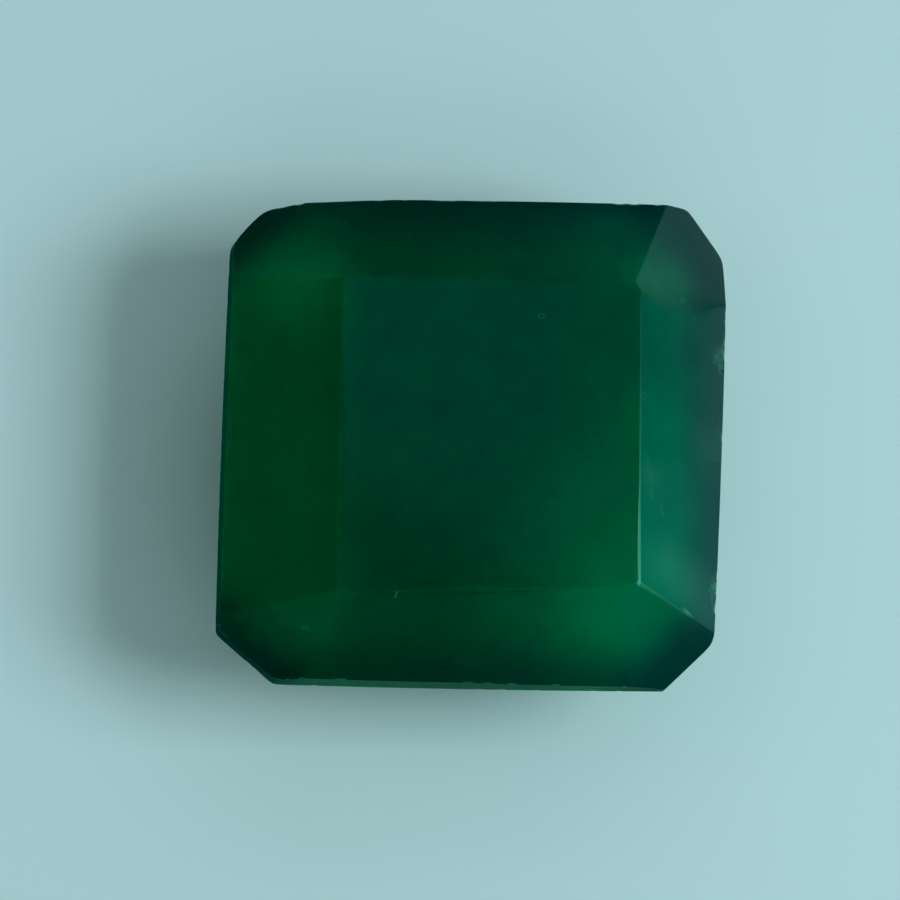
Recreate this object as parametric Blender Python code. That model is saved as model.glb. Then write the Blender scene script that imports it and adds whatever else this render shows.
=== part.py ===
"""A hand cut and polished green onyx stone: a step cut octagon with a high crown.

The stone is one solid. The pavilion and the girdle are rings of one outline, and
the crown is ground from the block above them, one flat facet after another.
"""
from math import cos, radians, sin

import bmesh
import bpy
from mathutils import Vector

MM = 0.001

# Heights in mm, upwards from the small flat that the stone stands on.
PAVILION_DEPTH = 4.9
GIRDLE_THICKNESS = 1.2
CROWN_HEIGHT = 2.6

# The girdle's sides seen from above, in turn from the right side:
# name, direction that the side faces in degrees, distance from the middle in mm.
# The stone is ground by hand, so opposite sides aren't quite parallel.
GIRDLE_SIDES = (
    ("right side", -2.6, 7.84),
    ("upper right corner", 37.6, 10.18),
    ("upper side, right part", 90.9, 7.63),
    ("upper side, left part", 94.6, 7.75),
    ("upper left corner", 137.9, 9.74),
    ("left side", 178.1, 7.81),
    ("lower left corner", 229.6, 9.88),
    ("lower side", 270.4, 7.71),
    ("lower right corner", 314.4, 9.75),
)

# The pavilion's rings: share of the girdle's outline, height as a share of the depth.
# The lowest ring is the flat culet, and each pair of rings bounds one row of steps.
PAVILION_RINGS = (
    (0.30, 0.0),
    (0.68, 0.40),
    (0.89, 0.73),
    (1.0, 1.0),
)

# The crown's four wide facets: direction in degrees, distance of their upper edge,
# which is the table's edge, from the middle in mm, and slope in degrees.
CROWN_FACETS = (
    ("right", -0.5, 4.78, 39.9),
    ("upper", 90.7, 4.58, 40.1),
    ("left", 179.2, 4.58, 38.9),
    ("lower", 272.8, 5.19, 47.0),
)

# The crown's corner facets, each between the wide facet of its row above and the next:
# name, direction and slope in degrees, and how much it takes off the table's corner in mm.
CORNER_FACETS = (
    ("upper right", 29.4, 43.0, 0.16),
    ("upper left", 139.0, 44.0, 0.05),
    ("lower left", 228.0, 47.5, 0.05),
    ("lower right", 293.5, 47.6, 0.14),
)

STONE_GREEN = (0.004, 0.060, 0.030, 1.0)
STONE_ROUGHNESS = 0.12


def remove_scene_objects():
    for item in list(bpy.data.objects):
        bpy.data.objects.remove(item, do_unlink=True)


def facing(azimuth):
    """The level unit vector that points in this direction."""
    angle = radians(azimuth)
    return Vector((cos(angle), sin(angle), 0.0))


def crossing(azimuth_a, reach_a, azimuth_b, reach_b):
    """Where two upright planes cross, seen from above."""
    a = facing(azimuth_a)
    b = facing(azimuth_b)
    det = a.x * b.y - a.y * b.x
    x = (reach_a * b.y - reach_b * a.y) / det
    y = (reach_b * a.x - reach_a * b.x) / det
    return Vector((x, y, 0.0))


def girdle_outline():
    """The corners of the girdle's outline, counterclockwise, in mm."""
    corners = []
    for i, (_, azimuth, reach) in enumerate(GIRDLE_SIDES):
        _, next_azimuth, next_reach = GIRDLE_SIDES[(i + 1) % len(GIRDLE_SIDES)]
        corners.append(crossing(azimuth, reach, next_azimuth, next_reach))
    return corners


def add_ring(bm, outline, share, height):
    return [bm.verts.new((p.x * share, p.y * share, height)) for p in outline]


def make_blank(bm):
    """The finished pavilion and girdle, with an upright block left for the crown."""
    outline = girdle_outline()
    top = PAVILION_DEPTH + GIRDLE_THICKNESS + CROWN_HEIGHT
    levels = [(share, part * PAVILION_DEPTH) for share, part in PAVILION_RINGS]
    levels.append((1.0, top))
    rings = [add_ring(bm, outline, share, height) for share, height in levels]
    count = len(outline)
    bm.faces.new(list(reversed(rings[0])))
    for low, high in zip(rings, rings[1:]):
        for i in range(count):
            j = (i + 1) % count
            bm.faces.new((low[i], low[j], high[j], high[i]))
    bm.faces.new(rings[-1])


def grind(bm, point, normal):
    """Grinds away all that stands outside one plane and closes the cut with a facet."""
    geometry = bm.verts[:] + bm.edges[:] + bm.faces[:]
    bmesh.ops.bisect_plane(bm, geom=geometry, dist=1e-5, plane_co=point,
                           plane_no=normal, clear_outer=True)
    rim = [edge for edge in bm.edges if edge.is_boundary]
    bmesh.ops.edgeloop_fill(bm, edges=rim)


def sloped_normal(azimuth, slope):
    return facing(azimuth) * sin(radians(slope)) + Vector((0.0, 0.0, cos(radians(slope))))


def grind_crown(bm):
    table_height = PAVILION_DEPTH + GIRDLE_THICKNESS + CROWN_HEIGHT
    for _, azimuth, reach, slope in CROWN_FACETS:
        edge_point = facing(azimuth) * reach + Vector((0.0, 0.0, table_height))
        grind(bm, edge_point, sloped_normal(azimuth, slope))
    for i, (_, azimuth, slope, nick) in enumerate(CORNER_FACETS):
        _, azimuth_a, reach_a, _ = CROWN_FACETS[i]
        _, azimuth_b, reach_b, _ = CROWN_FACETS[(i + 1) % len(CROWN_FACETS)]
        corner = crossing(azimuth_a, reach_a, azimuth_b, reach_b)
        corner.z = table_height
        corner -= facing(azimuth) * nick
        grind(bm, corner, sloped_normal(azimuth, slope))


def stand_on_origin(bm):
    """Brings the origin to the middle of the bounding box's underside, in metres."""
    xs = [vert.co.x for vert in bm.verts]
    ys = [vert.co.y for vert in bm.verts]
    middle = Vector(((min(xs) + max(xs)) / 2, (min(ys) + max(ys)) / 2, 0.0))
    for vert in bm.verts:
        vert.co = (vert.co - middle) * MM


def stone_material():
    material = bpy.data.materials.new("polished green onyx")
    material.use_nodes = True
    shader = material.node_tree.nodes["Principled BSDF"]
    shader.inputs["Base Color"].default_value = STONE_GREEN
    shader.inputs["Roughness"].default_value = STONE_ROUGHNESS
    shader.inputs["Metallic"].default_value = 0.0
    return material


def make_stone():
    bm = bmesh.new()
    make_blank(bm)
    grind_crown(bm)
    stand_on_origin(bm)
    bmesh.ops.recalc_face_normals(bm, faces=bm.faces[:])
    mesh = bpy.data.meshes.new("onyx_stone")
    bm.to_mesh(mesh)
    bm.free()
    mesh.materials.append(stone_material())
    stone = bpy.data.objects.new("onyx_stone", mesh)
    bpy.context.scene.collection.objects.link(stone)
    return stone


remove_scene_objects()
make_stone()
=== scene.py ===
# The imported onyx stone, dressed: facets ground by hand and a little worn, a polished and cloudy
# green body with its inner light and shade painted into its colour, a pale floor and soft light from the
# right
from math import pi, radians, sqrt, tan

import bpy
import numpy as np
from mathutils import Matrix, Vector


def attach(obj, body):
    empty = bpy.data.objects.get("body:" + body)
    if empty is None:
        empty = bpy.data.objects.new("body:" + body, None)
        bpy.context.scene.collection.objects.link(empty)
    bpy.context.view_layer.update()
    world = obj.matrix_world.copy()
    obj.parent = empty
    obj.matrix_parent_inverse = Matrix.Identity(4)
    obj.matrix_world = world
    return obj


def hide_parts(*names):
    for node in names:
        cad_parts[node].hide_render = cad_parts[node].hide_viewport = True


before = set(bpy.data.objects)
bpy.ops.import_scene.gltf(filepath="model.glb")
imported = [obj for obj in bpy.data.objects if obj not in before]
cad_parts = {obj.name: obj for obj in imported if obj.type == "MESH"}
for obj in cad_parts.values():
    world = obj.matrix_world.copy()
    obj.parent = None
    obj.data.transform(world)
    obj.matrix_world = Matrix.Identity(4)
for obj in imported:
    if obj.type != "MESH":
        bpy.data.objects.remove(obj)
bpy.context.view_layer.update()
mm = 0.001  # metres


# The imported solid

solidReading = {
    "sameFacet": 0.9999,            # least cosine between the triangles of one facet
    "samePlane": 0.02,              # mm between their planes
    "sameCorner": 0.005,            # mm between the copies of one corner
    "touching": 0.01,               # mm from a corner to its facets and to the others at its height
    "upright": 0.02,                # the most that the direction of a girdle side climbs
    "level": 0.98,                  # the least that the table's direction does
    "sameTurn": 1e-6,               # radians, so that a corner right above another counts as past it
}


def readFacets(node):
    # The flat facets in mm: direction, distance from the origin and middle of each. Triangles in one
    # plane are one facet, and the largest of them gives its direction.
    mesh = node.data
    count = len(mesh.polygons)
    normals, centres, areas = np.empty(count * 3), np.empty(count * 3), np.empty(count)
    mesh.polygons.foreach_get("normal", normals)
    mesh.polygons.foreach_get("center", centres)
    mesh.polygons.foreach_get("area", areas)
    largestFirst = np.argsort(-areas)
    normals = normals.reshape(-1, 3)[largestFirst]
    centres = centres.reshape(-1, 3)[largestFirst] / mm
    areas = areas[largestFirst]
    reaches = (normals * centres).sum(1)
    alike = normals @ normals.T > solidReading["sameFacet"]
    alike &= np.abs(reaches[:, None] - reaches) < solidReading["samePlane"]
    first = np.unique(alike.argmax(1))
    shares = alike[first] * areas
    middles = shares @ centres / shares.sum(1, keepdims=True)
    return {"normal": normals[first], "reach": reaches[first], "middle": middles}


def readCorners(node):
    # The solid's corners in mm, each of them once
    mesh = node.data
    points = np.empty(len(mesh.vertices) * 3)
    mesh.vertices.foreach_get("co", points)
    points = points.reshape(-1, 3) / mm
    near = np.linalg.norm(points[:, None] - points, axis=2) < solidReading["sameCorner"]
    return points[np.unique(near.argmax(1))]


def azimuth(points):
    # The direction of each point as seen from above, in radians from the right side
    return np.arctan2(points[:, 1], points[:, 0])


def inTurn(points):
    # The points sorted by that direction
    return points[np.argsort(azimuth(points))]


def readOutlines(facets, corners):
    # The closed lines that the stone's edges make round it, from the culet up, each with the place of
    # its corners: how far along the girdle's outline, in mm, the corner lies
    touching = solidReading["touching"]
    upright = solidReading["upright"]
    climb = facets["normal"][:, 2]
    onFacet = np.abs(corners @ facets["normal"].T - facets["reach"]) < touching
    heights = corners[:, 2]
    onGirdle = onFacet[:, np.abs(climb) < upright].any(1)
    foot = heights[onGirdle].min()
    levels = np.unique(np.round(heights[heights < foot + touching], 2))
    rings = [inTurn(corners[np.abs(heights - level) < touching]) for level in levels]
    lengths = np.linalg.norm(np.roll(rings[-1], -1, 0) - rings[-1], axis=1)
    cornerPlace = np.cumsum(lengths) - lengths
    rim = onGirdle & (heights > foot + touching)
    turns = azimuth(corners[rim]) + solidReading["sameTurn"]
    side = np.searchsorted(azimuth(rings[-1]), turns) - 1
    along = np.linalg.norm((corners[rim] - rings[-1][side])[:, :2], axis=1)
    rimPlace = cornerPlace[side] + along
    # a crown ridge runs from the rim to the table's corner on the same two crown facets
    onCrown = onFacet[:, (climb > upright) & (climb < solidReading["level"])]
    ridgeFoot = onCrown[rim].sum(1) == 2
    tableCorner = heights > heights.max() - touching
    shared = onCrown[rim][ridgeFoot].astype(int) @ onCrown[tableCorner].T.astype(int)
    ridgeTop = corners[tableCorner][shared.argmax(1)]
    lines = [(cornerPlace, ring) for ring in rings]
    lines.append((rimPlace, corners[rim]))
    lines.append((rimPlace[ridgeFoot], ridgeTop))
    return lines, lengths.sum()


# The worn stone

stoneLook = {
    "columnsPerMm": 6.5,            # grid columns along a side
    "extraColumns": 7.0,            # times as many right at a corner
    "extraReach": 0.13,             # mm, how far from a corner they thin out
    "leastColumns": 6,              # along the shortest side
    "rowSteps": (8, 14, 14, 14, 24, 40, 30),    # culet, three pavilion rows, girdle, crown, table
    "crowding": 2.7,                # how strongly rows crowd at the edges
    "crowning": 0.0010,             # 1/mm, how much a hand ground facet bulges
    "ripple": 0.0012,               # mm, unevenness left by polishing
    "rippleLength": 2.6,            # mm
    "rippleWaves": 14,
    "edgeWear": 0.0012,             # mm, softness of a fresh edge
    "edgeLength": 0.35,             # mm, over which that changes along the edge
    "edgeWaves": 9,
    "worn": (                       # place in mm, radius in mm and added softness in mm
        ((4.75, -3.4, 8.7), 3.2, 0.022),
        ((6.1, -5.35, 7.5), 1.7, 0.020),
        ((6.3, 4.55, 7.4), 2.4, 0.050),
        ((4.9, -6.5, 7.2), 1.6, 0.030),
        ((-6.2, 4.6, 7.4), 2.2, 0.050),
        ((-4.9, 6.0, 7.5), 1.9, 0.050),
        ((-6.3, -5.5, 7.4), 2.2, 0.040),
        ((-5.0, -6.6, 7.5), 1.9, 0.040),
        ((-4.6, -1.5, 8.7), 4.6, 0.030),
        ((0.0, 4.5, 8.7), 5.2, 0.045),
        ((-0.5, -5.3, 8.7), 4.9, 0.045),
    ),
    "cornerWear": 0.015,            # mm, softness of the girdle's upright corners
    "wornCorners": (                # the same three values for them
        ((8.07, 6.14, 5.6), 1.8, 0.060),
        ((6.83, 7.75, 5.6), 1.8, 0.045),
        ((-6.63, 7.25, 5.5), 2.0, 0.070),
        ((-7.67, 6.11, 5.5), 2.0, 0.070),
        ((-8.07, -6.14, 5.5), 1.8, 0.050),
        ((-6.19, -7.75, 5.5), 1.8, 0.050),
        ((7.51, -6.23, 5.6), 1.8, 0.050),
    ),
    "chips": (                      # place in mm on an edge, radius and depth in mm
        ((7.84, 3.0, 6.06), 0.20, 0.035),
        ((7.72, 2.55, 6.14), 0.14, 0.022),
        ((7.90, 3.35, 6.02), 0.14, 0.030),
        ((7.44, -4.55, 6.36), 0.22, 0.045),
        ((7.52, -5.15, 6.25), 0.20, 0.045),
        ((7.62, -4.1, 6.2), 0.12, 0.025),
        ((-7.0, -6.98, 4.95), 0.12, 0.030),
        ((6.45, -5.42, 7.2), 0.055, 0.013),
        ((6.05, -5.35, 7.5), 0.05, 0.011),
        ((5.30, -5.10, 8.2), 0.06, 0.014),
    ),
    "nicks": 80,                    # small ones all along the girdle's edges
    "nickRadius": (0.10, 0.22),     # mm
    "nickDepth": (0.012, 0.045),    # mm
    "meeting": 0.15,                # mm, how near a facet has to be to turn a chip its way
    "biteBlur": 0.003,              # mm, over which a chip's paleness ends
    "chipPaleness": 0.35,           # of the named ones
    "nickPaleness": 0.12,
    "heart": (0.0, 0.0, 5.6),       # mm, the point inside that the surface is drawn towards
    "deepest": 0.9,                 # the share of a point's way from the heart that always stays
    "halvings": 20,                 # how often its place is narrowed down
    "lapLean": 0.2,                 # how far the directions of polishing lean from level
    "lapShift": 7.3,                # mm between the patterns of two facets
    "seed": 11,
}


def crowd(share, pull):
    # Even steps from 0 to 1, crowded at both ends: half of 1 + tanh of a line, brought back to 0 to 1
    return 0.5 + 0.5 * np.tanh(pull * (2 * share - 1)) / np.tanh(pull)


def columnPlaces(start, width, look):
    # Places along one side. Their density is even, plus a share that fades by exp away from both ends,
    # and they lie at even steps of its running sum.
    fineSteps = 400
    along = np.linspace(0, width, fineSteps)
    near = np.minimum(along, width - along)
    density = look["columnsPerMm"] * (1 + look["extraColumns"] * np.exp(-near / look["extraReach"]))
    total = np.cumsum(density) * width / fineSteps
    total -= total[0]
    count = max(look["leastColumns"], round(total[-1]))
    return start + np.interp(np.arange(count) * total[-1] / count, total, along)


def alongLine(line, places, around):
    # Points of a closed line, each on the straight line between the two corners beside its place
    cornerPlace, points = line
    return np.stack([np.interp(places, cornerPlace, axis, period=around) for axis in points.T], 1)


def makeGrid(lines, around, look):
    # A point for each row and column. A column climbs from the culet's middle over all the edges to
    # the table's middle, and between two edges its points lie on the straight line that joins them.
    knots = np.sort(lines[-2][0])
    widths = np.diff(np.append(knots, knots[0] + around))
    places = np.concatenate([columnPlaces(start, width, look) for start, width in zip(knots, widths)])
    stations = [alongLine(line, places, around) for line in lines]
    culetMiddle = np.broadcast_to(stations[0].mean(0), stations[0].shape)
    tableMiddle = np.broadcast_to(stations[-1].mean(0), stations[-1].shape)
    stations = [culetMiddle, *stations, tableMiddle]
    rows = []
    for low, high, steps in zip(stations, stations[1:], look["rowSteps"]):
        climb = crowd(np.arange(steps) / steps, look["crowding"])[:, None, None]
        rows.append(low + (high - low) * climb)
    rows.append(stations[-1][None])
    return np.concatenate(rows)


def waves(points, length, count, seed, spread=(0.6, 1.5)):
    # A smooth random field from 0 to 1: the mean of sine waves of about one length in random
    # directions, halved and lifted. The spread is the range of their rates, in waves per length.
    rng = np.random.default_rng(seed)
    directions = rng.normal(size=(count, 3))
    rates = 2 * pi / length * rng.uniform(*spread, count)
    directions *= (rates / np.linalg.norm(directions, axis=1))[:, None]
    starts = rng.uniform(0, 2 * pi, count)
    return 0.5 + 0.5 * np.sin(points @ directions.T + starts).mean(1)


def facetHeights(points, facets, look):
    # How far each point stands over each facet, which falls away from its middle by the crowning times
    # the square of the distance along it
    straight = points @ facets["normal"].T - facets["reach"]
    middles = facets["middle"]
    away = (points ** 2).sum(1)[:, None] - 2 * points @ middles.T + (middles ** 2).sum(1)
    return straight + look["crowning"] * (away - straight ** 2)


def makeChips(lines, around, facets, look):
    # Balls that bite the edges: the named ones, and small ones at random places on the girdle's two
    # edges. A ball's middle stands out from its edge, along the mean direction of the facets there.
    rng = np.random.default_rng(look["seed"] + 3)
    places = rng.uniform(0, around, look["nicks"])
    upper = alongLine(lines[-2], places[::2], around)
    lower = alongLine(lines[-3], places[1::2], around)
    chipPlaces, chipRadii, chipDepths = zip(*look["chips"])
    edge = np.concatenate([np.array(chipPlaces), upper, lower])
    radius = np.append(chipRadii, rng.uniform(*look["nickRadius"], look["nicks"]))
    depth = np.append(chipDepths, rng.uniform(*look["nickDepth"], look["nicks"]))
    heights = facetHeights(edge, facets, look)
    highest = heights.max(1, keepdims=True)
    outward = (heights > highest - look["meeting"]).astype(float) @ facets["normal"]
    outward /= np.linalg.norm(outward, axis=1, keepdims=True)
    edge = edge - outward * highest
    return {"middle": edge + outward * (radius - depth)[:, None], "radius": radius}


def bites(points, chips):
    # How deep each point lies in each ball: its radius less the distance from its middle
    away = np.linalg.norm(points[:, None] - chips["middle"], axis=2)
    return chips["radius"] - away


def nearPlaces(points, places):
    # What the named places give each point: each fades by (1 - (distance / radius) squared) squared
    total = np.zeros(len(points))
    for place, radius, gain in places:
        share = ((points - np.array(place)) ** 2).sum(1) / radius ** 2
        total += gain * np.clip(1 - share, 0, 1) ** 2
    return total


def softMaximum(heights, softness):
    # The softness times the log of the sum of exp(height / softness)
    peak = heights.max(1, keepdims=True)
    return peak + softness * np.log(np.exp((heights - peak) / softness).sum(1, keepdims=True))


def wearStone(points, facets, chips, look):
    # Each point moves towards the heart until it stands out of nothing: the soft maximum of its heights
    # over the facets, plus the ripple, and the depth in the deepest chip are zero or less. The girdle's
    # sides have a soft maximum of their own, which then counts as one facet.
    heart = np.array(look["heart"])
    rough = waves(points, look["edgeLength"], look["edgeWaves"], look["seed"])
    softness = (look["edgeWear"] * (0.5 + rough) + nearPlaces(points, look["worn"]))[:, None]
    cornerSoftness = (look["cornerWear"] + nearPlaces(points, look["wornCorners"]))[:, None]
    ripple = look["ripple"] * waves(points, look["rippleLength"], look["rippleWaves"], look["seed"] + 1)
    upright = np.abs(facets["normal"][:, 2]) < solidReading["upright"]

    def standsOut(scale):
        moved = heart + (points - heart) * scale[:, None]
        heights = facetHeights(moved, facets, look)
        girdle = softMaximum(heights[:, upright], cornerSoftness)
        soft = softMaximum(np.concatenate([heights[:, ~upright], girdle], 1), softness)
        return np.maximum(soft[:, 0] + ripple, bites(moved, chips).max(1)) > 0

    inner = np.full(len(points), look["deepest"])
    outer = np.ones(len(points))
    for _ in range(look["halvings"]):
        middle = (inner + outer) / 2
        out = standsOut(middle)
        outer = np.where(out, middle, outer)
        inner = np.where(out, inner, middle)
    return heart + (points - heart) * inner[:, None]


def facetPlaces(points, facets, look):
    # For each point: where it lies on its facet in mm, along and across the direction that the facet was
    # polished in, each a dot product, and whether the facet is one of the girdle's
    home = facetHeights(points, facets, look).argmax(1)
    normals = facets["normal"]
    rng = np.random.default_rng(look["seed"] + 2)
    across = np.cross(normals, np.array([0, 0, 1]) + rng.normal(0, look["lapLean"], normals.shape))
    across /= np.linalg.norm(across, axis=1, keepdims=True)
    along = np.cross(normals, across)
    alongPlace = (points * along[home]).sum(1)
    acrossPlace = (points * across[home]).sum(1)
    onGirdle = np.abs(normals[home, 2]) < solidReading["upright"]
    return np.stack([alongPlace, acrossPlace, home * look["lapShift"]], 1), onGirdle


def gridMesh(name, grid):
    # A closed mesh from a grid whose first and last row are single points and whose columns close a
    # ring: fans of triangles at both ends, and quads between
    rows, columns = grid.shape[:2]
    points = np.concatenate([grid[0, :1], grid[1:-1].reshape(-1, 3), grid[-1, :1]])
    ring = np.arange(columns)
    after = np.roll(ring, -1)
    last = len(points) - 1
    starts = 1 + columns * np.arange(rows - 3)[:, None]
    quads = np.stack([starts + ring, starts + after, starts + columns + after, starts + columns + ring], 2)
    below = np.stack([np.zeros(columns, int), 1 + after, 1 + ring], 1)
    above = np.stack([np.full(columns, last), last - columns + ring, last - columns + after], 1)
    faces = below.tolist() + quads.reshape(-1, 4).tolist() + above.tolist()
    mesh = bpy.data.meshes.new(name)
    mesh.from_pydata(points * mm, [], faces)
    mesh.polygons.foreach_set("use_smooth", np.ones(len(mesh.polygons), bool))
    return mesh, points


def addAttribute(mesh, name, kind, field, values):
    # One value or vector for each point, for the material to read
    attribute = mesh.attributes.new(name, kind, "POINT")
    attribute.data.foreach_set(field, np.ascontiguousarray(values, np.float32).ravel())


# Materials

class Link:
    # An output socket that sums and products can be written with. Each of them adds one Math node.
    def __init__(self, maker, socket):
        self.maker = maker
        self.socket = socket

    def calc(self, operation, *values):
        return self.maker.add("ShaderNodeMath", {"operation": operation}, dict(enumerate(values)))

    def __add__(self, other):
        return self.calc("ADD", self, other)

    def __sub__(self, other):
        return self.calc("SUBTRACT", self, other)

    def __rsub__(self, other):
        return self.calc("SUBTRACT", other, self)

    def __mul__(self, other):
        return self.calc("MULTIPLY", self, other)

    def __pow__(self, other):
        return self.calc("POWER", self, other)

    __radd__ = __add__
    __rmul__ = __mul__

    def clamp(self):
        return self.maker.add("ShaderNodeClamp", {}, {"Value": self})

    def size(self):
        return self.calc("ABSOLUTE", self)


class Maker:
    # Adds nodes to one tree: a node's type, its settings, and the values or links of its sockets
    def __init__(self, tree):
        self.tree = tree

    def add(self, kind, settings, values, output=0):
        node = self.tree.nodes.new(kind)
        for name, setting in settings.items():
            setattr(node, name, setting)
        for key, value in values.items():
            if isinstance(value, Link):
                self.tree.links.new(value.socket, node.inputs[key])
            else:
                node.inputs[key].default_value = value
        return Link(self, node.outputs[output]) if node.outputs else None

    def parts(self, vector):
        node = self.add("ShaderNodeSeparateXYZ", {}, {"Vector": vector}).socket.node
        return [Link(self, socket) for socket in node.outputs]

    def blend(self, share, first, second):
        # of two colours, whose sockets are the numbers 6, 7 and 2
        sockets = {"Factor": share, 6: first, 7: second}
        return self.add("ShaderNodeMix", {"data_type": "RGBA"}, sockets, 2)

    def vector(self, operation, *values, output=0):
        settings = {"operation": operation}
        return self.add("ShaderNodeVectorMath", settings, dict(enumerate(values)), output)

    def dot(self, first, second):
        return self.vector("DOT_PRODUCT", first, second, output="Value")

    def distance(self, first, second):
        return self.vector("DISTANCE", first, second, output="Value")

    def scaled(self, vector, factor):
        return self.add("ShaderNodeVectorMath", {"operation": "SCALE"}, {0: vector, "Scale": factor})

    def attribute(self, name, output="Fac"):
        return self.add("ShaderNodeAttribute", {"attribute_name": name}, {}, output)

    def noise(self, place, scale, detail=2.0, roughness=0.5, distortion=0.0):
        values = {"Vector": place, "Scale": scale, "Detail": detail, "Roughness": roughness}
        return self.add("ShaderNodeTexNoise", {}, {**values, "Distortion": distortion})

    def stretch(self, value, low, high):
        # 0 at low, 1 at high, smooth between
        settings = {"interpolation_type": "SMOOTHSTEP"}
        values = {"Value": value, "From Min": low, "From Max": high}
        return self.add("ShaderNodeMapRange", settings, values)

    def ramp(self, value, ends):
        # 0 before the first place, smoothly up to the gain at the second
        start, end, gain = ends
        return self.stretch(value, start, end) * gain


def newMaker(owner):
    # For the emptied node tree of a material or of the world
    owner.use_nodes = True
    owner.node_tree.nodes.clear()
    return Maker(owner.node_tree)


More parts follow.
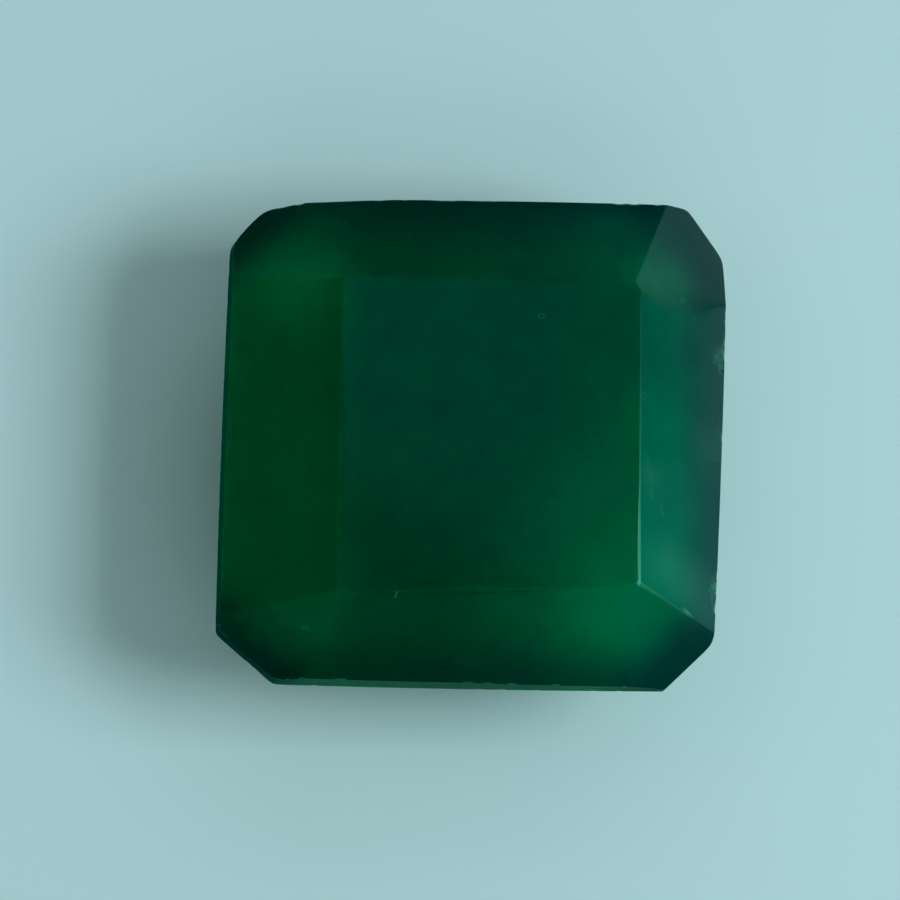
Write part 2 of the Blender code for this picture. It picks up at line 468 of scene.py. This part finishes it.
onyxLook = {
    "green": (0.0, 0.102, 0.0235),           # base colours, linear: where the stone is deep
    "paleGreen": (0.0, 0.104, 0.032),        # and where the painted glow is
    "roughness": 0.10,
    "girdleRoughness": 0.90,                 # the girdle is ground but not polished
    "smudgeRoughness": 0.04,                 # what smudges, streaks, marks and dull edges add to it
    "streakRoughness": 0.03,
    "markRoughness": 0.5,
    "dullRoughness": 0.6,
    "streakHeight": 0.00016,                 # mm
    "smudgeHeight": 0.0003,                  # mm
    "ior": 1.54,
    "transmission": 0.35,
    "scatter": 0.0015,                       # metres
    "scatterColour": (0.25, 1.0, 0.6),
    "absorption": (0.0, 0.60, 0.34, 1),
    "absorptionPerMetre": 260.0,
    "frost": (0.14, 0.50, 0.36),             # chips, frayed edges and marks, also painted sheen and highlights
    "glow": 0.60,                            # painted light: what comes back out of the middle, painted into the base colour
    "leftGlow": (-3.6, -5.6, 0.40),          # mm, mm and gain of painted light: it grows between two places
    "rightGlow": (1.0, 5.0, 0.18),
    "glows": (                               # place in mm, radius in mm and gain of each spot of painted inner light, partly pale cloud; a negative gain paints shade
        ((4.2, -5.8, 7.7), 3.7, 0.95),
        ((4.3, -1.0, 8.7), 4.2, 0.22),
        ((3.2, -3.4, 8.7), 4.0, 0.45),
        ((0.8, -5.6, 8.3), 2.6, 0.25),
        ((5.8, -3.2, 7.6), 3.0, 0.30),
        ((5.5, 0.3, 7.9), 2.4, 0.50),
        ((5.4, 5.1, 8.0), 1.8, 0.45),
        ((6.3, 5.5, 6.9), 1.4, 0.55),
        ((4.3, 7.0, 6.6), 1.7, 0.45),
        ((5.6, 2.9, 7.9), 1.6, 0.10),
        ((6.6, 2.8, 7.1), 1.1, -0.30),
        ((6.0, -4.3, 7.7), 1.6, 0.30),
        ((6.4, -6.7, 6.9), 1.8, -0.45),
        ((-5.8, 4.7, 7.4), 2.8, 0.42),
        ((3.2, 6.0, 7.4), 2.8, 0.20),
        ((-0.5, 6.2, 7.4), 3.4, 0.08),
    ),
    "upperPaintedShade": (4.2, 7.8, 0.70),           # mm, mm and loss: painted shade, the body darker towards these edges
    "upperRimPaintedShade": (7.1, 7.7, 0.35),
    "lowerPaintedShade": (-6.2, -7.7, 0.52),
    "rightPaintedShade": (6.0, 7.7, 0.90),
    "cornerPaintedShade": (8.1, 9.7, 0.76),          # measured aslant from cornerMiddle
    "cornerMiddle": (-0.30, -0.12),          # mm
    "girdlePaintedShade": (-5.9, -6.9, 0.80),        # painted shade on the girdle alone
    "lightFrom": (0.38, -0.02, 0.925),       # painted light: facets turned this way are painted darker, those turned away paler
    "leastFacing": 0.15,                     # no facet counts as turned further away than this
    "evenLight": 0.18,                       # the light of the surroundings and the lamp's
    "lampLight": 0.85,
    "clouds": 0.35,                          # how much broad clouds and fine veils change the light
    "veils": 0.35,
    "streaks": 0.16,                         # and the streaks left by polishing
    "streakLengths": (0.5, 7.0, 1.0),        # 1/mm along and across a streak, and from facet to facet
    "cloudNoise": (0.35, 2.0, 0.55),         # scale, detail, roughness and distortion of each noise
    "veilNoise": (1.3, 2.0, 0.5, 0.8),
    "streakNoise": (1.0, 2.0, 0.6),
    "smudgeNoise": (0.8, 2.0, 0.6),
    "bendNoise": (5.0, 2.0),
    "spotNoise": (9.0, 2.0, 0.7),
    "sheenPatches": (                               # painted sheen: place in mm from above, radius in mm and paleness of each pale patch
        ((5.6, -4.1, 0), 1.3, 0.055),
        ((5.2, -1.7, 0), 1.0, 0.022),
        ((7.2, -5.0, 0), 1.6, 0.095),
        ((6.4, -4.2, 0), 1.4, 0.040),
        ((7.7, 0.0, 0), 1.5, 0.070),
        ((7.6, 2.0, 0), 1.1, 0.020),
        ((5.1, -1.4, 0), 0.6, 0.050),
        ((7.6, 2.9, 0), 0.45, 0.070),
    ),
    "scratches": (                           # two places in mm, half the width in mm and paleness of each
        ((4.98, -0.80), (5.15, -1.55), 0.110, 0.050),
        ((5.10, -1.85), (5.20, -2.15), 0.060, 0.090),
        ((5.48, -2.30), (5.56, -2.60), 0.070, 0.090),
        ((7.52, 2.65), (7.78, 3.15), 0.110, 0.110),
        ((7.30, -4.60), (7.48, -5.30), 0.060, 0.12),
        ((4.69, -4.82), (4.69, -4.90), 0.080, 0.45),
        ((-2.90, -5.36), (-2.90, -5.48), 0.065, 0.35),
        ((-5.58, -6.31), (-5.50, -6.33), 0.130, 0.20),
        ((6.32, -5.42), (6.62, -5.55), 0.090, 0.25),
    ),
    "frayedEdgesAndHighlights": (                         # the same, but an edge is that wide and pale only at its end: frosted wear and a painted highlight
        ((4.77, 4.33), (4.71, -4.85), 0.068, 1.00),
        ((7.50, -5.93), (4.69, -4.85), 0.095, 0.20),
    ),
    "frayedStart": 0.10,                     # the share of its width that it has at its start
    "rings": (                               # place in mm, radius in mm: tiny round marks
        ((1.63, 3.48), 0.08),
        ((4.87, 1.05), 0.09),
        ((6.34, 4.40), 0.08),
    ),
    "ringWidth": 0.03,                       # mm, half of it
    "ringPaleness": 0.15,
    "markBend": (0.16, -0.12, 0),            # mm, how far noise bends the marks
    "markSpots": (0.35, 0.65),               # from and to where the other noise brings out a scratch
    "markStrength": (0.4, 1.2),              # what is left of it elsewhere, and what such a spot adds
    "crownFoot": (5.8, 6.1),                 # mm, the heights that the marks begin between
}


def smooth(values, low, high):
    # 0 at low, 1 at high, smooth between
    share = np.clip((values - low) / (high - low), 0, 1)
    return share * share * (3 - 2 * share)


def fadingSpots(points, spots):
    # What the spots give each point: each fades smoothly from its middle to its radius
    total = np.zeros(len(points))
    for middle, radius, gain in spots:
        away = np.linalg.norm(points - np.array(middle), axis=1)
        total += gain * smooth(away, radius, 0)
    return total


def paintedInsideLight(points, normals, matt, look):
    # The light inside the stone, painted into its base colour: at each point in mm the painted light that
    # comes back out, the painted shade that dims it, and its green. The light is nearly even, so a facet
    # that is turned away from the lamp is painted paler to look as bright as the others: it is divided by
    # how far it faces the lamp.
    x = points[:, 0]
    y = points[:, 1]
    glow = fadingSpots(points, look["glows"])
    light = look["glow"] + glow
    for name in ("leftGlow", "rightGlow"):
        start, end, gain = look[name]
        light += gain * smooth(x, start, end)
    middleX, middleY = look["cornerMiddle"]
    aslant = (np.abs(x - middleX) + np.abs(y - middleY)) * sqrt(0.5)
    facing = np.maximum(normals @ np.array(look["lightFrom"]), look["leastFacing"])
    shade = 1 / (look["evenLight"] + facing * look["lampLight"])
    dims = {"upperPaintedShade": y, "upperRimPaintedShade": y, "lowerPaintedShade": y, "rightPaintedShade": x, "cornerPaintedShade": aslant}
    for name, values in dims.items():
        start, end, loss = look[name]
        shade *= 1 - loss * smooth(values, start, end)
    start, end, loss = look["girdlePaintedShade"]
    shade *= 1 - loss * matt * smooth(x, start, end)
    share = np.clip(glow, 0, 1)[:, None]
    green = (1 - share) * np.array(look["green"]) + share * np.array(look["paleGreen"])
    return light, shade, green


def awayFromLine(maker, place, start, end):
    # How far along the line between two places the nearest point lies, from 0 to 1, and how far away
    run = Vector((*end, 0)) - Vector((*start, 0))
    offset = maker.vector("SUBTRACT", place, (*start, 0))
    share = maker.dot(offset, tuple(run / run.length_squared)).clamp()
    return share, maker.distance(offset, maker.scaled(tuple(run), share))


def marks(maker, place, look):
    # The share of pale marks on the crown and the share of dull edges, from places in mm. Both are laid
    # out as seen from above. A scratch is what lies near a line between two places, and a ring what lies
    # near one distance from its middle. Noise bends them and wears the scratches away in spots. The pale
    # patches of painted sheen are added. A frayed edge grows wider, and paler with the cube of the share
    # along it: frosted wear and a painted highlight.
    height = maker.parts(place)[2]
    onCrown = maker.stretch(height, *look["crownFoot"])
    flat = maker.vector("MULTIPLY", place, (1.0, 1.0, 0.0))
    wobble = maker.noise(place, *look["bendNoise"]) - 0.5
    bent = maker.vector("ADD", flat, maker.scaled(look["markBend"], wobble))
    pale = 0.0
    for start, end, width, paleness in look["scratches"]:
        _, away = awayFromLine(maker, bent, start, end)
        pale = pale + maker.stretch(away, width, 0.0) * paleness
    spots = maker.stretch(maker.noise(place, *look["spotNoise"]), *look["markSpots"])
    least, more = look["markStrength"]
    pale = pale * (least + spots * more) + maker.attribute("sheenPatch")
    for middle, radius in look["rings"]:
        away = (maker.distance(bent, (*middle, 0)) - radius).size()
        pale = pale + maker.stretch(away, look["ringWidth"], 0.0) * look["ringPaleness"]
    dull = 0.0
    begin = look["frayedStart"]
    for start, end, width, paleness in look["frayedEdgesAndHighlights"]:
        share, away = awayFromLine(maker, flat, start, end)
        line = maker.stretch(away, (begin + share * (1 - begin)) * width, 0.0)
        pale = pale + line * share ** 3 * paleness
        dull = dull + line
    return pale * onCrown, dull * onCrown


def cloudyGreenAndPaintedLight(maker, place, streak, look):
    # The body's colour: the green and the painted light and shade inside that the mesh carries, with
    # clouds and veils by place and the streaks of the polish
    light = maker.attribute("light")
    cloud = maker.noise(place, *look["cloudNoise"])
    veil = maker.noise(place, *look["veilNoise"])
    light = light + (cloud - 0.5) * look["clouds"] + (veil - 0.5) * look["veils"]
    light = light * (1 + (streak - 0.5) * look["streaks"]) * maker.attribute("shade")
    return maker.scaled(maker.attribute("green", "Vector"), light)


def onyxMaterial(look):
    # Polished, cloudy and translucent, with a little light scattered below its surface, and inner light
    # and shade painted into its base colour
    material = bpy.data.materials.new("polished green onyx")
    maker = newMaker(material)
    place = maker.scaled(maker.add("ShaderNodeTexCoord", {}, {}, "Object"), 1 / mm)
    lapPlace = maker.vector("MULTIPLY", maker.attribute("lapPlace", "Vector"), look["streakLengths"])
    streak = maker.noise(lapPlace, *look["streakNoise"])
    smudge = maker.noise(place, *look["smudgeNoise"])
    mark, dull = marks(maker, place, look)
    pale = (maker.attribute("pale") + mark).clamp()
    polish = look["roughness"] + (smudge - 0.5) * look["smudgeRoughness"]
    polish = polish + (streak - 0.5) * look["streakRoughness"]
    ground = maker.attribute("matt") * (look["girdleRoughness"] - look["roughness"])
    roughness = polish + ground + mark * look["markRoughness"] + dull * look["dullRoughness"]
    height = streak * look["streakHeight"] + smudge * look["smudgeHeight"]
    shader = maker.add("ShaderNodeBsdfPrincipled", {}, {
        "Base Color": maker.blend(pale, cloudyGreenAndPaintedLight(maker, place, streak, look), (*look["frost"], 1)),
        "Roughness": roughness,
        "Normal": maker.add("ShaderNodeBump", {}, {"Strength": 1.0, "Distance": mm, "Height": height}),
        "IOR": look["ior"],
        "Transmission Weight": look["transmission"],
        "Subsurface Weight": 1.0,
        "Subsurface Radius": look["scatterColour"],
        "Subsurface Scale": look["scatter"],
    })
    depth = {"Color": look["absorption"], "Density": look["absorptionPerMetre"]}
    dark = maker.add("ShaderNodeVolumeAbsorption", {}, depth)
    maker.add("ShaderNodeOutputMaterial", {}, {"Surface": shader, "Volume": dark})
    return material


def floorMaterial(look):
    material = bpy.data.materials.new("pale floor")
    maker = newMaker(material)
    sockets = {"Base Color": look["colour"], "Roughness": look["roughness"]}
    shader = maker.add("ShaderNodeBsdfPrincipled", {}, sockets)
    maker.add("ShaderNodeOutputMaterial", {}, {"Surface": shader})
    return material


# Surroundings

floorLook = {
    "halfWidth": 0.5,                      # metres
    "colour": (0.95, 0.82, 0.83, 1),
    "roughness": 0.9,
}
airColour = (0.54, 1.0, 1.03)              # the cool cast of the light
skyLook = {
    "low": 0.02,                           # brightness of the surroundings, level with the stone
    "high": 0.10,                          # overhead
    "overhead": (0.42, 0.70),              # from and to where it grows, as the sine of the height
    "beyond": 0.10,                        # added to it beyond the upper side
    "beyondFrom": (0.45, 0.85),            # from and to where that grows, likewise
    "backdrop": 0.45,                      # as the camera sees it behind the floor
}
lampLook = {                               # place and aim in mm, width and height in mm, brightness
    "key": ((150, -20, 195), (0, 0, 5), 110, 130, 6.95, airColour),
}
hiddenLook = {                             # the same for lamps that aren't seen in the polish
    "dome": ((60, 0, 300), (0, 0, 5), 520, 520, 0.25, airColour),
    "leftSide": ((-140, 10, 175), (0, 0, 5), 120, 120, 0.45, (0.80, 1.0, 0.97)),
    "upperSide": ((20, 190, 170), (0, 0, 5), 260, 150, 0.55, airColour),
    "lowerSide": ((20, -190, 170), (0, 0, 5), 260, 150, 0.65, airColour),
}
cardLook = {                               # the same for cards that are seen in the polish alone
    "tableCard": ((40, 83, 262), (0, 0, 9), 90, 78, 0.24, (0.54, 1.0, 0.92)),
    "sideCard": ((60, -6, 24), (0, -6, 24), 48, 35.9, 0.57, (0.16, 1.0, 0.88)),
    "lowerSideCard": ((61, -8, 24), (0, -8, 24), 34, 35.9, 0.36, (0.06, 1.0, 0.88)),
    "sideFoot": ((60, -6, 3.075), (0, -6, 3.075), 48, 5.95, 0.70, (0.30, 1.0, 1.0)),
    "upperCard": ((45, 195, 216), (0, 0, 9), 220, 190, 0.11, (0.54, 1.0, 0.92)),
    "lowerCard": ((45, -165, 240), (0, 0, 9), 220, 330, 0.07, (0.54, 1.0, 0.92)),
}


def makeFloor(look):
    half = look["halfWidth"]
    corners = ((-half, -half, 0), (half, -half, 0), (half, half, 0), (-half, half, 0))
    mesh = bpy.data.meshes.new("floor")
    mesh.from_pydata(corners, [], [(0, 1, 2, 3)])
    mesh.materials.append(floorMaterial(look))
    floor = bpy.data.objects.new("floor", mesh)
    bpy.context.scene.collection.objects.link(floor)


def softLight(name, place, aim, width, height, radiance, colour):
    # A rectangle of light at one place, turned to another. Its power is its brightness times pi times
    # its area.
    light = bpy.data.lights.new(name, "AREA")
    light.shape = "RECTANGLE"
    light.size = width * mm
    light.size_y = height * mm
    light.energy = radiance * pi * width * height * mm * mm
    light.color = colour
    lamp = bpy.data.objects.new(name, light)
    lamp.location = Vector(place) * mm
    lamp.rotation_euler = (Vector(aim) - Vector(place)).to_track_quat("-Z", "Y").to_euler()
    lamp.visible_camera = False
    bpy.context.scene.collection.objects.link(lamp)
    return lamp


arcCardLook = {
    "bentCard": {
        "arcs": ((36, 0), (36, 16)),       # radius and height of its two edges in mm
        "span": (17.6, 334),               # degrees; it is open to the right
        "colour": (0.38, 1.0, 0.98, 1),
        "dim": 0.11,                       # brightness at its left
        "brighter": ((2, 15, 0.20), (18, 28, 0.26)),    # mm, mm and gain: it grows to the right
        "seenThrough": True,               # also in what the stone refracts
    },
    "shadeCard": {                         # lies under the stone and is open to the lower side: a dark card that puts painted shade under the stone into what the polish reflects
        "arcs": ((3, 0.05), (13.5, 0.05)),
        "span": (-12, 236),
        "colour": (0.38, 1.0, 0.98, 1),
        "dim": 0.012,
        "brighter": (),
        "seenThrough": False,
    },
}


def makeArcCard(name, look):
    # A card between two arcs round the stone's middle, which only the polish shows. A point on an arc
    # is its radius times the cosine and sine of the turn, and the arcs' points are joined in pairs.
    count = 60
    turn = np.radians(np.linspace(*look["span"], count))
    ring = np.stack([np.cos(turn), np.sin(turn), 0 * turn], 1)
    arcs = [ring * radius + np.array([0, 0, height]) for radius, height in look["arcs"]]
    start = np.arange(count - 1)
    quads = np.stack([start, start + 1, start + 1 + count, start + count], 1)
    mesh = bpy.data.meshes.new(name)
    mesh.from_pydata(np.concatenate(arcs) * mm, [], quads.tolist())
    material = bpy.data.materials.new("grey card")
    maker = newMaker(material)
    right = maker.parts(maker.add("ShaderNodeTexCoord", {}, {}, "Object"))[0] * (1 / mm)
    strength = look["dim"] + sum(maker.ramp(right, ends) for ends in look["brighter"])
    shader = maker.add("ShaderNodeEmission", {}, {"Color": look["colour"], "Strength": strength})
    maker.add("ShaderNodeOutputMaterial", {}, {"Surface": shader})
    mesh.materials.append(material)
    card = bpy.data.objects.new(name, mesh)
    card.visible_camera = False
    card.visible_diffuse = False
    card.visible_shadow = False
    card.visible_transmission = look["seenThrough"]
    bpy.context.scene.collection.objects.link(card)


def makeWorld(look):
    # Dim surroundings that grow brighter overhead and beyond the upper side
    world = bpy.data.worlds.new("soft sky")
    bpy.context.scene.world = world
    maker = newMaker(world)
    _, y, z = maker.parts(maker.add("ShaderNodeTexCoord", {}, {}, "Generated"))
    seen = maker.add("ShaderNodeLightPath", {}, {}, "Is Camera Ray")
    sky = look["low"] + maker.stretch(z, *look["overhead"]) * (look["high"] - look["low"])
    sky = sky + maker.stretch(y, *look["beyondFrom"]) * look["beyond"]
    strength = sky * (1 - seen) + seen * look["backdrop"]
    shader = maker.add("ShaderNodeBackground", {}, {"Color": (*airColour, 1), "Strength": strength})
    maker.add("ShaderNodeOutputWorld", {}, {"Surface": shader})


cameraLook = {
    "leanLeft": 9.0,                       # degrees that the camera stands to the left of straight above
    "leanDown": 11.0,                      # and below, as the picture shows it
    "aim": (-0.833, -0.350, 6.1),          # mm
    "distance": 300.0,                     # mm
    "viewWidth": 28.08,                    # mm across the picture at the aim
    "clip": (0.01, 5.0),                   # metres
}
blackLevel = (0.009, 0, 0)                 # what the picture takes out of its red, green and blue


def makeCamera(look):
    # The camera leans by the tangents of its two angles and holds the stone's upper side up. Its lens is
    # the sensor's width times the distance, divided by the width that it sees there.
    back = Vector((-tan(radians(look["leanLeft"])), -tan(radians(look["leanDown"])), 1)).normalized()
    up = (Vector((0, 1, 0)) - back * back.y).normalized()
    turned = Matrix((up.cross(back), up, back)).transposed().to_4x4()
    data = bpy.data.cameras.new("camera")
    data.lens = data.sensor_width * look["distance"] / look["viewWidth"]
    data.clip_start, data.clip_end = look["clip"]
    camera = bpy.data.objects.new("camera", data)
    place = (Vector(look["aim"]) + back * look["distance"]) * mm
    camera.matrix_world = Matrix.Translation(place) @ turned
    bpy.context.scene.collection.objects.link(camera)
    bpy.context.scene.camera = camera


def chipFields(points, chips, look):
    # How much each point lies in a chip, from 0 to 1, and the paleness that this gives it. The named
    # chips come first and are the paler ones.
    inBite = np.clip(bites(points, chips) / look["biteBlur"] + 1, 0, 1)
    chipped = inBite.max(1)
    named = inBite[:, :len(look["chips"])].max(1)
    return chipped, np.maximum(named * look["chipPaleness"], chipped * look["nickPaleness"])


def markStone(mesh, points, facets, chips):
    # Puts all that changes smoothly over the stone on its points, for the material to read, the painted
    # light, shade and sheen among it
    lapPlace, onGirdle = facetPlaces(points, facets, stoneLook)
    chipped, pale = chipFields(points, chips, stoneLook)
    matt = np.maximum(onGirdle, chipped)
    normals = np.empty(len(points) * 3)
    mesh.vertices.foreach_get("normal", normals)
    light, shade, green = paintedInsideLight(points, normals.reshape(-1, 3), matt, onyxLook)
    onCrown = smooth(points[:, 2], *onyxLook["crownFoot"])
    sheenPatch = fadingSpots(points * (1, 1, 0), onyxLook["sheenPatches"]) * onCrown
    numbers = {"matt": matt, "pale": pale, "light": light, "shade": shade, "sheenPatch": sheenPatch}
    for name, values in numbers.items():
        addAttribute(mesh, name, "FLOAT", "value", values)
    for name, values in {"lapPlace": lapPlace, "green": green}.items():
        addAttribute(mesh, name, "FLOAT_VECTOR", "vector", values)


def makeStone(node):
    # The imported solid's facets and outlines, as a worn and finished stone
    facets = readFacets(node)
    corners = readCorners(node)
    print("facets", len(facets["reach"]), "corners", len(corners))
    lines, around = readOutlines(facets, corners)
    grid = makeGrid(lines, around, stoneLook)
    print("grid", grid.shape[:2])
    chips = makeChips(lines, around, facets, stoneLook)
    worn = wearStone(grid.reshape(-1, 3), facets, chips, stoneLook).reshape(grid.shape)
    mesh, points = gridMesh("polished_onyx", worn)
    markStone(mesh, points, facets, chips)
    mesh.materials.append(onyxMaterial(onyxLook))
    stone = bpy.data.objects.new("polished_onyx", mesh)
    bpy.context.scene.collection.objects.link(stone)
    print("stone", len(mesh.polygons), "faces")
    return stone


stone = makeStone(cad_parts["onyx_stone"])
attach(stone, "root")
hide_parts("onyx_stone")

makeFloor(floorLook)
makeWorld(skyLook)
for name, values in lampLook.items():
    softLight(name, *values)
for name, values in hiddenLook.items():
    softLight(name, *values).visible_glossy = False
for name, values in cardLook.items():
    softLight(name, *values).visible_diffuse = False
for name, values in arcCardLook.items():
    makeArcCard(name, values)
makeCamera(cameraLook)
view = bpy.context.scene.view_settings
view.view_transform = "Standard"
view.look = "None"
view.use_curve_mapping = True
view.curve_mapping.black_level = blackLevel
print("scene ready")
